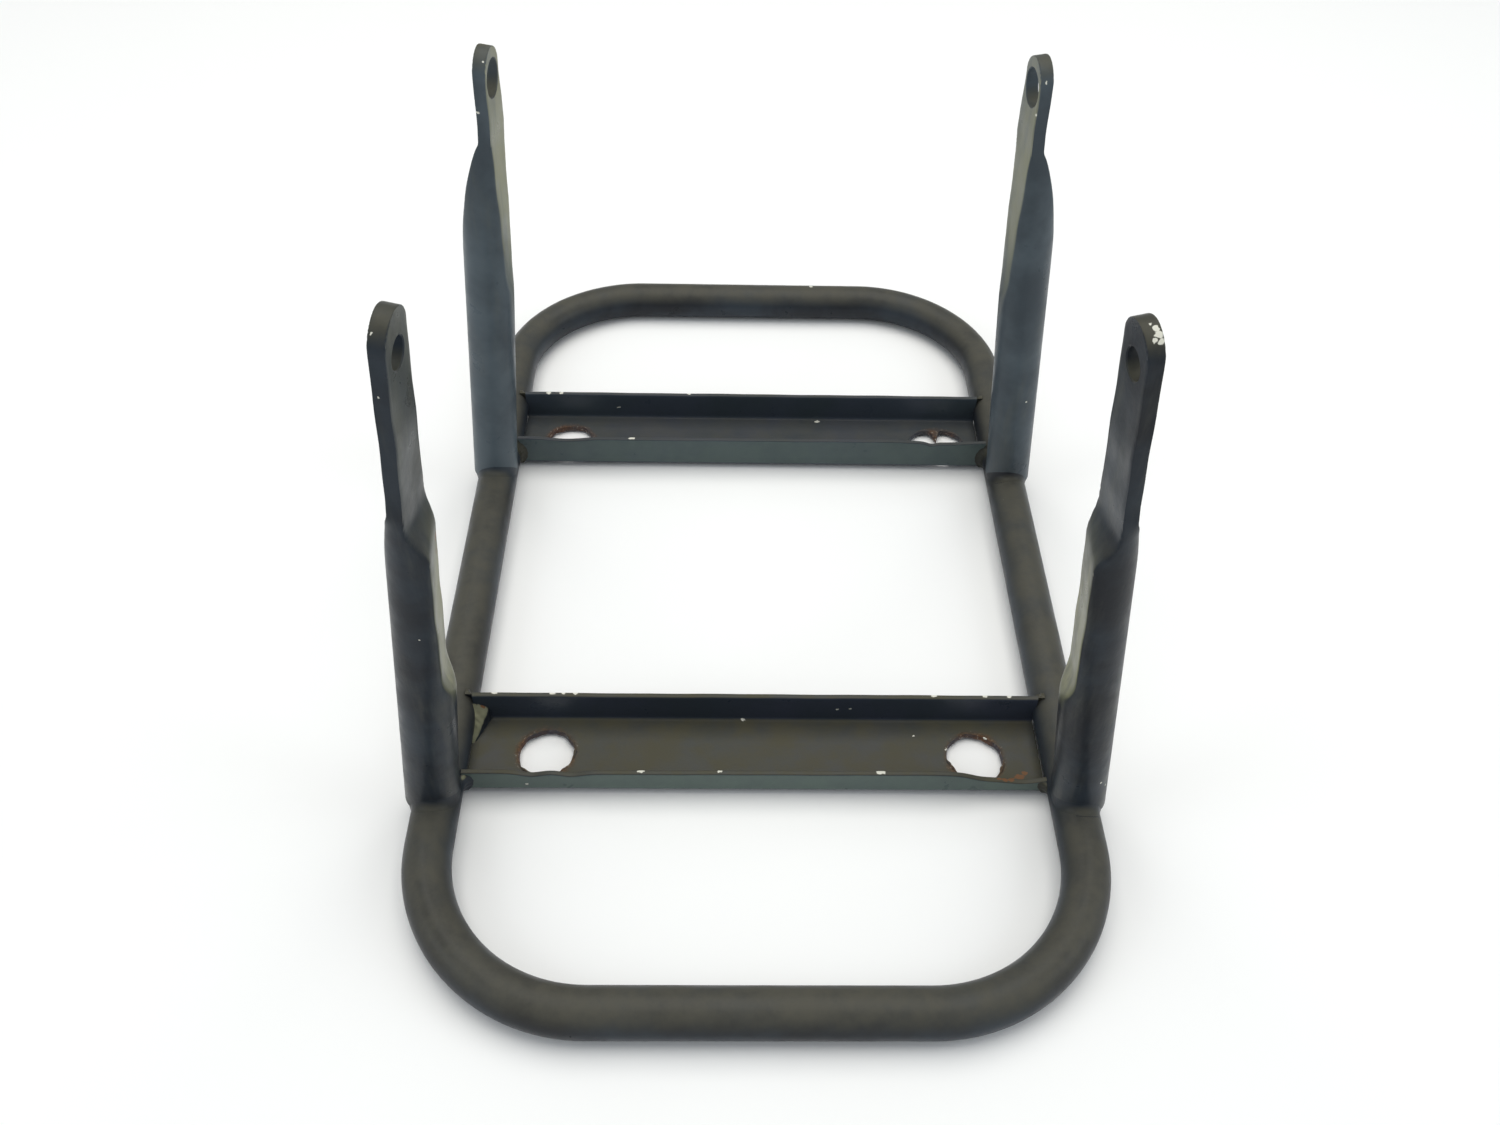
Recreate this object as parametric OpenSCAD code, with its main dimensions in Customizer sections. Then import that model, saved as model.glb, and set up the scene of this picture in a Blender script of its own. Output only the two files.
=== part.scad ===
// Motorcycle luggage rack, a welded frame of steel tube and pressed channel.
// It stands upside down on its load hoop, with its four legs up, as it is put on a bench.
// X runs across the rack, Y along it and Z up. The origin is under the middle of the hoop,
// on the plane that the hoop rests on. "Front" is the end at -Y, "rear" the end at +Y.

/* [Hoop] */
// Outside diameter of the hoop's tube
hoop_d = 16; // [13:0.5:20]
// Wall of the hoop's tube
hoop_wall = 2; // [1.5:0.1:2.5]
// Width of the hoop over its two side rails
hoop_w = 233; // [200:1:300]
// Length of the hoop over its two cross runs
hoop_l = 380; // [340:1:460]
// Bend radius of the four corners, to the tube's middle
bend_r = 56; // [40:1:64]

/* [Channels] */
// Width of a channel over its flanges
chan_w = 32; // [28:0.5:40]
// Depth of a channel, from the back of its web to its flange edges
chan_h = 15; // [12:0.5:18]
// Depth of the front channel's forward flange, which is cut lower than the rest
chan_low_h = 11.2; // [9:0.1:12]
// Sheet thickness of the channels
chan_t = 2; // [1.5:0.1:2.5]
// Outside radius of the channels' two bends
chan_r = 3.2; // [2.8:0.1:4]
// Distance of the channels' middle lines from the hoop's bends
chan_set = 42; // [40:0.5:60]
// Height of the webs above the plane that the hoop rests on
chan_lift = 1.2; // [0.5:0.1:2]
// How far a channel's end reaches past the inner side of the rail, where it is coped to it
chan_cope = 0.8; // [0.4:0.1:1.2]
// Size of the rough holes cut in the webs, across their middle
web_hole_d = 19; // [16:0.5:21]
// Distance of the rough holes' middle from the ends of their channel
web_hole_end = 24.3; // [20:0.1:40]

/* [Legs] */
// Outside diameter of the legs' tube
leg_d = 18; // [17:0.5:20]
// Wall of the legs' tube
leg_wall = 2.2; // [1.8:0.1:2.4]
// Distance of the front legs' middle from the hoop's front bends
front_leg_set = 20; // [14:0.5:24]
// Distance of the rear legs' middle from the middle line of the rear channel
rear_leg_set = 28; // [28:0.5:40]
// How far the front legs' feet stand outside the middle line of their rail
front_leg_out = 2; // [0:0.1:2]
// How far the rear legs' feet stand outside the middle line of their rail
rear_leg_out = 1.2; // [0:0.1:2]
// Length of the front legs, measured along the leg from the rail's middle
front_leg_l = 200.7; // [180:0.1:230]
// Length of the rear legs, measured along the leg from the rail's middle
rear_leg_l = 186.6; // [180:0.1:230]
// Inward lean of the front legs, in degrees
front_lean = 8.1; // [2:0.1:10]
// Inward lean of the rear legs, in degrees
rear_lean = 5.75; // [2:0.1:10]
// Sideways lean that both front legs share, from hard use, in degrees
front_skew = 0.7; // [-1.5:0.05:1.5]
// Sideways lean that both rear legs share, from hard use, in degrees
rear_skew = 0.15; // [-1.5:0.05:1.5]

/* [Pressing] */
// Distance of the front legs' first flat from the leg's end
front_flat_down = 138; // [130:1:150]
// Distance of the rear legs' flat from the leg's end
rear_flat_down = 91; // [80:1:110]
// Length of the scoop in which a flat begins
scoop_l = 12; // [8:1:20]
// How far the front legs' first flat lies from the leg's middle
flat_in = 4; // [3:0.1:6]
// Distance from the leg's end to where the front legs begin to step in to the tab
step_down = 75.5; // [70:0.5:80]
// Length of that step
step_l = 12; // [8:0.5:20]
// Distance from the leg's end to the foot of the front legs' outer shoulder
front_shoulder_down = 83; // [70:1:100]
// Length of the front legs' outer shoulder
front_shoulder_l = 24; // [16:1:36]
// Distance from the leg's end to the foot of the rear legs' outer shoulder
rear_shoulder_down = 74; // [60:1:90]
// Length of the rear legs' outer shoulder
rear_shoulder_l = 44; // [30:1:50]
// How full the outer shoulders are: 1 is a straight slope, 2 is a quarter of an ellipse
shoulder_fullness = 1.3; // [1:0.1:2]

/* [Tabs] */
// Width of the tabs at their hole
tab_w = 15.6; // [15:0.2:17]
// Width of the tabs where they leave the tube
tab_root_w = 16.4; // [15:0.2:17]
// Bolt hole in the front tabs
front_bolt_d = 8.5; // [6.5:0.1:10.5]
// Bolt hole in the rear tabs
rear_bolt_d = 12.4; // [8.4:0.1:12.6]
// Distance of the front bolt holes from the ends of the tabs
front_edge = 12; // [10:0.1:16]
// Distance of the rear bolt holes from the ends of the tabs
rear_edge = 10; // [9:0.1:16]
// Turn of the tabs about their leg, towards the front, in degrees
tab_toe = 8; // [0:0.5:12]
// Angle between the front legs' flats and the leg's own line, in degrees
front_tilt = 2; // [0:0.1:3]
// Angle between the rear legs' flats and the leg's own line, in degrees
rear_tilt = 3.4; // [2.6:0.1:4]
// How far the front tabs' inner face lies from the leg's middle at the hole, inwards positive
front_tab_in = -2.2; // [-3:0.1:0]
// How far the rear tabs' inner face lies from the leg's middle at the hole, inwards positive
rear_tab_in = 3.5; // [2:0.1:4]

/* [Welds] */
// Size of the weld bead round a leg's foot
foot_bead = 2.2; // [1.6:0.1:3]
// Size of the weld fillets in the corners between channel and rail
end_bead = 3; // [2.5:0.1:5]

/* [Hidden] */

$fn = 96;
SLACK = 1;                                // how far a cutting shape runs past what it cuts
paint = [0.17, 0.18, 0.19];
channel_paint = [0.23, 0.23, 0.20];
weld_paint = [0.27, 0.27, 0.25];

hoop_r = hoop_d / 2;
rail_x = hoop_w / 2 - hoop_r;             // middle line of a side rail
cross_y = hoop_l / 2 - hoop_r;            // middle line of a cross run
bend_y = cross_y - bend_r;                // where the straight rails end
chan_y = bend_y - chan_set;               // middle line of a channel
front_leg_y = bend_y - front_leg_set;     // distance of the front legs from the rack's middle
rear_leg_y = chan_y - rear_leg_set;       // distance of the rear legs from the rack's middle
leg_r = leg_d / 2;
rail_in = rail_x - hoop_r;                // inner side of a side rail
tab_t = 2 * leg_wall;                     // the two walls pressed together
chan_end = rail_in + chan_cope;           // cut end of a channel
web_hole_x = chan_end - web_hole_end;     // middle of a rough hole

CURVE_STEPS = 6;                          // straight pieces in a pressed curve

// The hoop

module quarter_bend(r) {
    translate([rail_x - bend_r, cross_y - bend_r, hoop_r])
        rotate_extrude(angle = 90)
            translate([bend_r, 0])
                circle(r);
}

module straight_run(r, from, to) {
    length = norm(to - from);
    turn = atan2(to[1] - from[1], to[0] - from[0]);
    translate([from[0], from[1], hoop_r])
        rotate([0, 0, turn])
            rotate([0, 90, 0])
                cylinder(h = length, r = r);
}

module hoop_path(r) {
    for (mx = [0, 1]) {
        for (my = [0, 1]) {
            mirror([mx, 0, 0])
                mirror([0, my, 0])
                    quarter_bend(r);
        }
    }
    for (side = [-1, 1]) {
        straight_run(r, [side * rail_x, bend_r - cross_y], [side * rail_x, cross_y - bend_r]);
        straight_run(r, [bend_r - rail_x, side * cross_y], [rail_x - bend_r, side * cross_y]);
    }
}

module hoop() {
    color(paint)
        difference() {
            hoop_path(hoop_r);
            hoop_path(hoop_r - hoop_wall);
        }
}

// A side rail's tube as a solid rod, to cut what is coped to it
module rail_rod() {
    translate([-rail_x, 0, hoop_r])
        rotate([90, 0, 0])
            cylinder(h = hoop_l, r = hoop_r, center = true);
}

// The channels

// Section across a channel: Y is across it, Z up, with the web at the bottom
module channel_section(front_h, rear_h) {
    half = chan_w / 2;
    inner_r = chan_r - chan_t;
    difference() {
        union() {
            translate([-half, chan_r])
                square([chan_r, front_h - chan_r]);
            translate([half - chan_r, chan_r])
                square([chan_r, rear_h - chan_r]);
            translate([chan_r - half, 0])
                square([chan_w - 2 * chan_r, chan_r]);
            for (side = [-1, 1])
                translate([side * (half - chan_r), chan_r])
                    circle(chan_r);
        }
        translate([chan_t - half, chan_r])
            square([chan_w - 2 * chan_t, chan_h]);
        translate([chan_r - half, chan_t])
            square([chan_w - 2 * chan_r, chan_h]);
        for (side = [-1, 1])
            translate([side * (half - chan_r), chan_r])
                circle(inner_r);
    }
}

// The bar between the rails, coped to both of them
module channel_bar(front_h, rear_h) {
    difference() {
        translate([-chan_end, 0, chan_lift])
            rotate([90, 0, 90])
                linear_extrude(height = 2 * chan_end)
                    channel_section(front_h, rear_h);
        rail_rod();
        mirror([1, 0, 0])
            rail_rod();
    }
}

// A rough hole, cut by hand: its radius wanders by a few tenths of a millimetre in three
// waves round the rim. "ragged" says by how much, and "longer" stretches the hole along X.
function rough_rim(d, longer, ragged, phase) = [
    for (a = [0:10:350])
        let (r = d / 2 + ragged * (0.5 * sin(2 * a + phase) + 0.3 * sin(5 * a + 2 * phase)
                                   + 0.2 * sin(9 * a - phase)))
        [longer * r * cos(a), r * sin(a)]
];

module rough_hole(x, y, d, longer, ragged, phase) {
    translate([x, y, chan_lift - SLACK])
        linear_extrude(height = chan_t + 2 * SLACK)
            polygon(rough_rim(d, longer, ragged, phase));
}

// The forward flanges were nibbled beside their holes. How deep the edge is cut at X is a sum
// of bell curves, each given by its [place, depth, half width].
EDGE_STEP = 2;
function nibbled(x, bells, i = 0) =
    i == len(bells) ? 0
    : bells[i][1] * exp(-pow((x - bells[i][0]) / bells[i][2], 2)) + nibbled(x, bells, i + 1);

module nibbled_edge(top, from, to, bells) {
    curve = [for (x = [from:EDGE_STEP:to]) [x, top - nibbled(x, bells)]];
    translate([0, chan_t + SLACK - chan_w / 2, 0])
        rotate([90, 0, 0])
            linear_extrude(height = chan_t + 2 * SLACK)
                polygon(concat([[from, top + SLACK]], curve, [[to, top + SLACK]]));
}

// A bite beside the front channel's right hole, in a long shallow sag
bite_x = web_hole_x + 9;
front_bells = [[bite_x, 4.8, 6], [bite_x - 12, 1.6, 18],
               [-web_hole_x - 0.5, 1.6, 5], [13 - web_hole_x, 1.6, 5]];
// Shallow dips beside both holes of the rear channel, and a nick
rear_bells = [[-web_hole_x - 3.6, 1.2, 10], [web_hole_x + 6, 1.1, 11], [web_hole_x + 0.8, 1, 2.5]];

module front_channel() {
    top = chan_lift + chan_low_h;
    color(channel_paint)
        translate([0, -chan_y, 0])
            difference() {
                channel_bar(chan_low_h, chan_h);
                rough_hole(-web_hole_x + 2.5, -1, web_hole_d, 1, 0.5, 40);
                rough_hole(web_hole_x + 1.2, -2, web_hole_d + 0.3, 1, 0.7, 160);
                nibbled_edge(top, bite_x - 36, bite_x + 12, front_bells);
                nibbled_edge(top, -web_hole_x - 11, 23 - web_hole_x, front_bells);
            }
}

module rear_channel() {
    top = chan_lift + chan_h;
    color(channel_paint)
        translate([0, chan_y, 0])
            difference() {
                channel_bar(chan_h, chan_h);
                rough_hole(-web_hole_x - 3.6, -2.7, web_hole_d + 0.8, 1, 0.7, 70);
                rough_hole(web_hole_x + 6, -2.6, web_hole_d - 0.4, 1.4, 0.9, 250);
                nibbled_edge(top, -web_hole_x - 22, 14 - web_hole_x, rear_bells);
                nibbled_edge(top, web_hole_x - 14, web_hole_x + 22, rear_bells);
            }
}

// The legs. A leg is built upright on its own line: x points inwards to the middle of the
// rack, y along the rack and z up the leg, from the middle of the rail's tube. Its tube is
// pressed from two sides: the side view below is what the pressing leaves of the round tube,
// and the flat tab grows out of it.
// A leg's form: [length, inner face at the bolt hole, bolt hole, distance of the hole from the
// end, tilt of the flats, start of the scoop below the inner flat, start and end of the outer
// shoulder]
front_form = [front_leg_l, front_tab_in, front_bolt_d, front_edge, front_tilt,
              front_leg_l - front_flat_down, front_leg_l - front_shoulder_down,
              front_leg_l - front_shoulder_down + front_shoulder_l];
rear_form = [rear_leg_l, rear_tab_in, rear_bolt_d, rear_edge, rear_tilt,
             rear_leg_l - rear_flat_down, rear_leg_l - rear_shoulder_down,
             rear_leg_l - rear_shoulder_down + rear_shoulder_l];
step_from = front_leg_l - step_down;      // where the front legs begin to step in to the tab
shoulder_power = 2 / shoulder_fullness;

function tab_inner(form, s) = form[1] - (s - form[0] + form[3]) * tan(form[4]);
function flat_inner(s) = flat_in - (s - front_form[5] - scoop_l) * tan(front_tilt);

// The scoop in which an inner flat begins: a parabola from outside the tube to the flat's depth
function scoop_points(from, depth) = [
    for (t = [-0.4:0.2:1])
        [depth + (leg_r - depth) * (1 - t) * (1 - t), from + t * scoop_l]
];

// Points of the inner side up to the tab. The front legs have a flat of their own below the
// tab, with a smooth S between the two.
function front_inner_points() = concat(
    scoop_points(front_form[5], flat_in),
    [for (i = [0:CURVE_STEPS])
        let (t = i / CURVE_STEPS,
             k = t * t * (3 - 2 * t),
             s = step_from + step_l * t)
        [flat_inner(s) * (1 - k) + tab_inner(front_form, s) * k, s]]
);
function rear_inner_points() = concat(
    scoop_points(rear_form[5], tab_inner(rear_form, rear_form[5] + scoop_l)),
    [[tab_inner(rear_form, rear_form[7] - tab_t), rear_form[7] - tab_t]]
);
function inner_side(form) = form == front_form ? front_inner_points() : rear_inner_points();

// Points of the outer side: a full round shoulder that ends in a corner at the tab
function outer_side(form, last) = concat(
    [[-leg_r - tab_t, form[6] - tab_t]],
    [for (i = [1:last])
        let (a = 90 * i / CURVE_STEPS,
             deep = leg_r + tab_inner(form, form[7]) - tab_t)
        [deep * (1 - pow(cos(a), shoulder_power)) - leg_r,
         form[6] + (form[7] - form[6]) * pow(sin(a), shoulder_power)]]
);

function reversed(list) = [for (i = [len(list) - 1:-1:0]) list[i]];

wide = 2 * leg_r;
module side_view(points) {
    rotate([90, 0, 0])
        linear_extrude(height = 2 * wide, center = true)
            polygon(concat([[-wide, -wide], [wide, -wide], [wide, points[0][1]]], points,
                           [[-wide, points[len(points) - 1][1]]]));
}

// What is left of the leg when it is seen along the rack: the pressed sides and the tab's faces
module pressed_sides(form) {
    over = form[0] + SLACK;
    side_view(concat(inner_side(form),
                     [[tab_inner(form, over), over], [tab_inner(form, over) - tab_t, over]],
                     reversed(outer_side(form, CURVE_STEPS))));
}

// What is left of it when it is seen across the rack: the tube, and the tab with its round end
module leg_front(form) {
    root = form[7];
    end_r = tab_w / 2;
    flare_half = 0.97 * leg_r;
    flare_l = tab_w / 2.6;
    translate([0, 0, -wide / 2])
        cylinder(h = root + wide / 2, r = leg_r);
    rotate([90, 0, 90])
        linear_extrude(height = 2 * wide, center = true)
            union() {
                translate([0, form[0] - end_r])
                    circle(end_r);
                polygon([[-end_r, form[0] - end_r], [-tab_root_w / 2, root + flare_l],
                         [-flare_half, root], [flare_half, root],
                         [tab_root_w / 2, root + flare_l], [end_r, form[0] - end_r]]);
            }
}

// The hollow inside, one wall in from the pressed tube; it closes where the walls meet
module hollow(form) {
    inner = [for (p = inner_side(form)) if (p[1] < form[7] - 1.4 * leg_wall) [p[0] - leg_wall, p[1]]];
    outer = [for (p = outer_side(form, CURVE_STEPS - 2)) [p[0] + leg_wall, p[1]]];
    intersection() {
        translate([0, 0, -wide])
            cylinder(h = form[0], r = leg_r - leg_wall);
        side_view(concat(inner, reversed(outer)));
    }
}

module leg_blank(form) {
    hole_s = form[0] - form[3];
    difference() {
        intersection() {
            leg_front(form);
            pressed_sides(form);
        }
        hollow(form);
        translate([tab_inner(form, hole_s), 0, hole_s])
            rotate([0, -form[4] - 90, 0])
                cylinder(h = 4 * tab_t, d = form[2], center = true);
    }
}

// Sets a leg's own line on the left rail, leaning inwards
module on_left_rail(y, out, lean) {
    translate([-rail_x - out, y, hoop_r])
        rotate([0, lean, 0])
            children();
}

// What lies below the middle of the left rail
module below_rail_middle(y) {
    translate([-2 * rail_x, y - 2 * leg_d, hoop_r - 4 * leg_d])
        cube([2 * rail_x, 4 * leg_d, 4 * leg_d]);
}

// A left leg, its foot coped to the rail and cut off at the rail's middle height
module left_leg(form, y, out, lean) {
    difference() {
        on_left_rail(y, out, lean)
            rotate([0, 0, -tab_toe])
                leg_blank(form);
        rail_rod();
        below_rail_middle(y);
    }
}

module left_front_leg(lean) {
    left_leg(front_form, -front_leg_y, front_leg_out, lean);
}

module left_rear_leg(lean) {
    left_leg(rear_form, rear_leg_y, rear_leg_out, lean);
}

module front_left_leg() {
    color(paint)
        left_front_leg(front_lean - front_skew);
}

module front_right_leg() {
    color(paint)
        mirror([1, 0, 0])
            left_front_leg(front_lean + front_skew);
}

module rear_left_leg() {
    color(paint)
        left_rear_leg(rear_lean - rear_skew);
}

module rear_right_leg() {
    color(paint)
        mirror([1, 0, 0])
            left_rear_leg(rear_lean + rear_skew);
}

// The weld round a leg's foot: a bead along the seam of the leg's tube and the rail's tube. At
// angle a round the leg, from its inner side, the bead's middle lies on the rail's surface:
// its height over the rail's middle is the square root of R * R - x * x.
BEAD_TURN = 20;                           // angle between two sections of the bead
BEAD_SIDES = 6;
waist = 1;                                // how far the bead stays inside the leg's outer side

function rail_height(x) = sqrt(max(0, hoop_r * hoop_r - x * x));

function bead_middle(a, y, out, lean) =
    let (r = leg_r - foot_bead / 2,
         low = r * cos(a) - out,
         x = max(-hoop_r, min(hoop_r, low + rail_height(low) * tan(lean))))
    [max(x, foot_bead + waist - leg_r - out) - rail_x, y + r * sin(a), hoop_r + rail_height(x)];

function bead_section(a, middle) = [
    for (k = [0:BEAD_SIDES - 1])
        let (turn = 360 * k / BEAD_SIDES)
        middle + foot_bead * [cos(turn) * cos(a), cos(turn) * sin(a), sin(turn)]
];

// A closed ring through sections that have equally many points each
module ring(sections) {
    n = len(sections);
    m = len(sections[0]);
    polyhedron(
        points = [for (section = sections) each section],
        faces = [
            for (i = [0:n - 1])
                for (k = [0:m - 1])
                    let (here = i * m, there = (i + 1) % n * m, next = (k + 1) % m)
                    each [[here + k, here + next, there + next], [here + k, there + next, there + k]]
        ]
    );
}

module left_foot_weld(y, out, lean) {
    difference() {
        ring([for (a = [0:BEAD_TURN:360 - BEAD_TURN]) bead_section(a, bead_middle(a, y, out, lean))]);
        difference() {
            on_left_rail(y, out, lean)
                cylinder(h = 3 * leg_d, r = leg_r, center = true);
            below_rail_middle(y);
        }
        rail_rod();
    }
}

module front_left_foot_weld() {
    color(weld_paint)
        left_foot_weld(-front_leg_y, front_leg_out, front_lean - front_skew);
}

module front_right_foot_weld() {
    color(weld_paint)
        mirror([1, 0, 0])
            left_foot_weld(-front_leg_y, front_leg_out, front_lean + front_skew);
}

module rear_left_foot_weld() {
    color(weld_paint)
        left_foot_weld(rear_leg_y, rear_leg_out, rear_lean - rear_skew);
}

module rear_right_foot_weld() {
    color(weld_paint)
        mirror([1, 0, 0])
            left_foot_weld(rear_leg_y, rear_leg_out, rear_lean + rear_skew);
}

// The welds at a channel's end: a hollow fillet in the corner between each flange's outer
// face and the rail, as high as the flange leaves room for
module end_fillet(y, outwards, top) {
    low = chan_lift + chan_r;
    difference() {
        translate([-rail_x, min(y, y + outwards * end_bead), low])
            cube([hoop_r + end_bead, end_bead, top - low]);
        translate([end_bead - rail_in, y + outwards * end_bead, low - SLACK])
            cylinder(h = top - low + 2 * SLACK, r = end_bead);
        rail_rod();
    }
}

module left_channel_weld(y, front_h) {
    end_fillet(y - chan_w / 2, -1, chan_lift + front_h - 1);
    end_fillet(y + chan_w / 2, 1, chan_lift + chan_h - 1);
}

// The one weld inside a channel's end. It fills the corner of the rail, the web and the flange
// behind it with a heap that stands highest on the flange and tapers off along the rail.
heap_high = 9.5;
heap_across = 5.6;
heap_along = 12;
module inner_heap() {
    root = chan_t / 2;
    far = -hoop_r / 2;
    edge_high = 0.68 * heap_high;
    difference() {
        translate([-chan_end, chan_w / 2 - chan_y - chan_t, chan_lift + chan_t])
            polyhedron(
                points = [[far, root, -root], [heap_across, root, -root],
                          [heap_across, root, edge_high], [far, root, heap_high + root],
                          [far, -heap_along, -root], [root, -heap_along, -root]],
                faces = [[0, 1, 2, 3], [0, 4, 5, 1], [0, 3, 4], [1, 5, 2], [2, 5, 3], [3, 5, 4]]
            );
        rail_rod();
        translate([-rail_x, -chan_y, chan_lift])
            rotate([90, 0, 90])
                linear_extrude(height = rail_x)
                    channel_section(chan_low_h, chan_h);
    }
}

module front_left_channel_weld() {
    color(weld_paint)
        union() {
            left_channel_weld(-chan_y, chan_low_h);
            inner_heap();
        }
}

module front_right_channel_weld() {
    color(weld_paint)
        mirror([1, 0, 0])
            left_channel_weld(-chan_y, chan_low_h);
}

module rear_left_channel_weld() {
    color(weld_paint)
        left_channel_weld(chan_y, chan_h);
}

module rear_right_channel_weld() {
    color(weld_paint)
        mirror([1, 0, 0])
            left_channel_weld(chan_y, chan_h);
}

hoop();
front_channel();
rear_channel();
front_left_leg();
front_right_leg();
rear_left_leg();
rear_right_leg();
front_left_foot_weld();
front_right_foot_weld();
rear_left_foot_weld();
rear_right_foot_weld();
front_left_channel_weld();
front_right_channel_weld();
rear_left_channel_weld();
rear_right_channel_weld();
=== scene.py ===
# %% [markdown]
# # A worn motorcycle luggage rack
# The rack stands upside down on a bench, on its load hoop, with its four legs up. It is one
# welded frame: a bent tube, two folded channels and four legs that are pressed flat at their
# ends. The packed CAD model gives the frame, so every piece below goes where the model says.

import math

import bmesh
import bpy
import mathutils
import numpy as np
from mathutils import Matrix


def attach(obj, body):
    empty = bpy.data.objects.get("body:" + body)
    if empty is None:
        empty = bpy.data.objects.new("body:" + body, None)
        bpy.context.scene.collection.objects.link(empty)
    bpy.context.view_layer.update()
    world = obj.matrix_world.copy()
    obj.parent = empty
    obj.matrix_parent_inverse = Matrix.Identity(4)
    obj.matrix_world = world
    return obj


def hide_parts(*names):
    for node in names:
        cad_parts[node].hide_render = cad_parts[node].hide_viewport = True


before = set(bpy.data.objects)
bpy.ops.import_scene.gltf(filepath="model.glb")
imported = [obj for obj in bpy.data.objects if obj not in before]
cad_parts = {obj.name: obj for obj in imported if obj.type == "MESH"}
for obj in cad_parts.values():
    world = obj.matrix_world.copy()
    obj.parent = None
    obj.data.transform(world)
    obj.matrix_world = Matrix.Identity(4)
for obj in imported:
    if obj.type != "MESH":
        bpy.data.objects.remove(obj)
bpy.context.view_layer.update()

MM = 0.001

# %% [markdown]
# ## The camera
# The camera stands in front of the rack and a little to its left, and looks down on it at 47
# degrees. Its place and its three angles come from matching the outlines of the hoop, the
# channels and the legs. The focal length is given for a 36 mm wide sensor.

# %% Camera
CAMERA_PLACE = np.array([-12.47, -342.26, 378.30]) * MM
CAMERA_DOWN = math.radians(46.928)
CAMERA_RIGHT = math.radians(1.813)
CAMERA_ROLL = math.radians(1.832)
CAMERA_LENS, SENSOR = 30.28, 36.0


def make_camera():
    """A camera frame from three angles: forward is turned right and then down, and the right
    and up arrows are then rolled about forward."""
    down, turn, roll = CAMERA_DOWN, CAMERA_RIGHT, CAMERA_ROLL
    level = math.cos(down)
    forward = np.array([math.sin(turn) * level, math.cos(turn) * level, -math.sin(down)])
    right = np.array([math.cos(turn), -math.sin(turn), 0.0])
    up = np.cross(right, forward)
    place = np.eye(4)
    place[:3, 0] = math.cos(roll) * right + math.sin(roll) * up
    place[:3, 1] = math.cos(roll) * up - math.sin(roll) * right
    place[:3, 2] = -forward
    place[:3, 3] = CAMERA_PLACE
    data = bpy.data.cameras.new("camera")
    data.lens, data.sensor_width, data.sensor_fit = CAMERA_LENS, SENSOR, "HORIZONTAL"
    data.clip_start, data.clip_end = 0.01, 20.0
    camera = bpy.data.objects.new("camera", data)
    bpy.context.scene.collection.objects.link(camera)
    camera.matrix_world = place.T.tolist()
    bpy.context.scene.camera = camera
    return camera


camera = make_camera()
print("Camera at", CAMERA_PLACE)

# %% [markdown]
# ## Bench and light
# The real rack stands on a pale bench, in soft light from above. One large warm lamp hangs
# over it, and two weaker, cooler ones stand at its sides, so that the tops of the tubes look
# olive and their sides look blue. The bench is bright, because dark satin paint mostly shows
# what it reflects.

# %% Bench and light
BENCH_WHITE, BENCH_SIZE = (0.97, 0.97, 0.96, 1), 8.0
WARM, COOL = (1.0, 0.98, 0.93), (0.88, 0.94, 1.0)
SKY, SKY_STRENGTH = (0.92, 0.96, 1.0, 1), 0.43
OVERHEAD_WATTS, SIDE_WATTS = 19.5, 5

bench_material = bpy.data.materials.new("bench_white")
bench_material.use_nodes = True
bench_shader = bench_material.node_tree.nodes["Principled BSDF"]
bench_shader.inputs["Base Color"].default_value = BENCH_WHITE
bench_shader.inputs["Roughness"].default_value = 0.8
bpy.ops.mesh.primitive_plane_add(size=BENCH_SIZE)
bench = bpy.context.object
bench.name = "bench"
bench.data.materials.append(bench_material)


def soft_lamp(name, place, aim, size, watts, colour):
    """A square area lamp at place that shines at aim."""
    data = bpy.data.lights.new(name, "AREA")
    data.size, data.energy, data.color = size, watts, colour
    lamp = bpy.data.objects.new(name, data)
    bpy.context.scene.collection.objects.link(lamp)
    lamp.location = place
    way = mathutils.Vector(aim) - mathutils.Vector(place)
    lamp.rotation_euler = way.to_track_quat("-Z", "Y").to_euler()


soft_lamp("overhead", (0.0, 0.3, 1.6), (0, 0, 0), 1.6, OVERHEAD_WATTS, WARM)
soft_lamp("from_left", (-1.5, -0.5, 0.9), (0, 0, 0.1), 0.9, SIDE_WATTS, COOL)
soft_lamp("from_right", (1.5, -0.3, 0.9), (0, 0, 0.1), 0.9, SIDE_WATTS, COOL)
world = bpy.data.worlds.new("surround")
bpy.context.scene.world = world
world.use_nodes = True
sky = world.node_tree.nodes["Background"]
sky.inputs["Color"].default_value = SKY
sky.inputs["Strength"].default_value = SKY_STRENGTH

# %% [markdown]
# ## From a grid of points to a mesh
# Every piece below is worked out as a grid of points: rows along the piece, columns round it.
# Blender could also build tubes from curves, but a grid lets one formula give every point, so
# a tube can be pressed flat, nibbled or rippled by changing its numbers. The helper joins
# neighbouring rows and columns by quads, and closes the ends with one face each.

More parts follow.
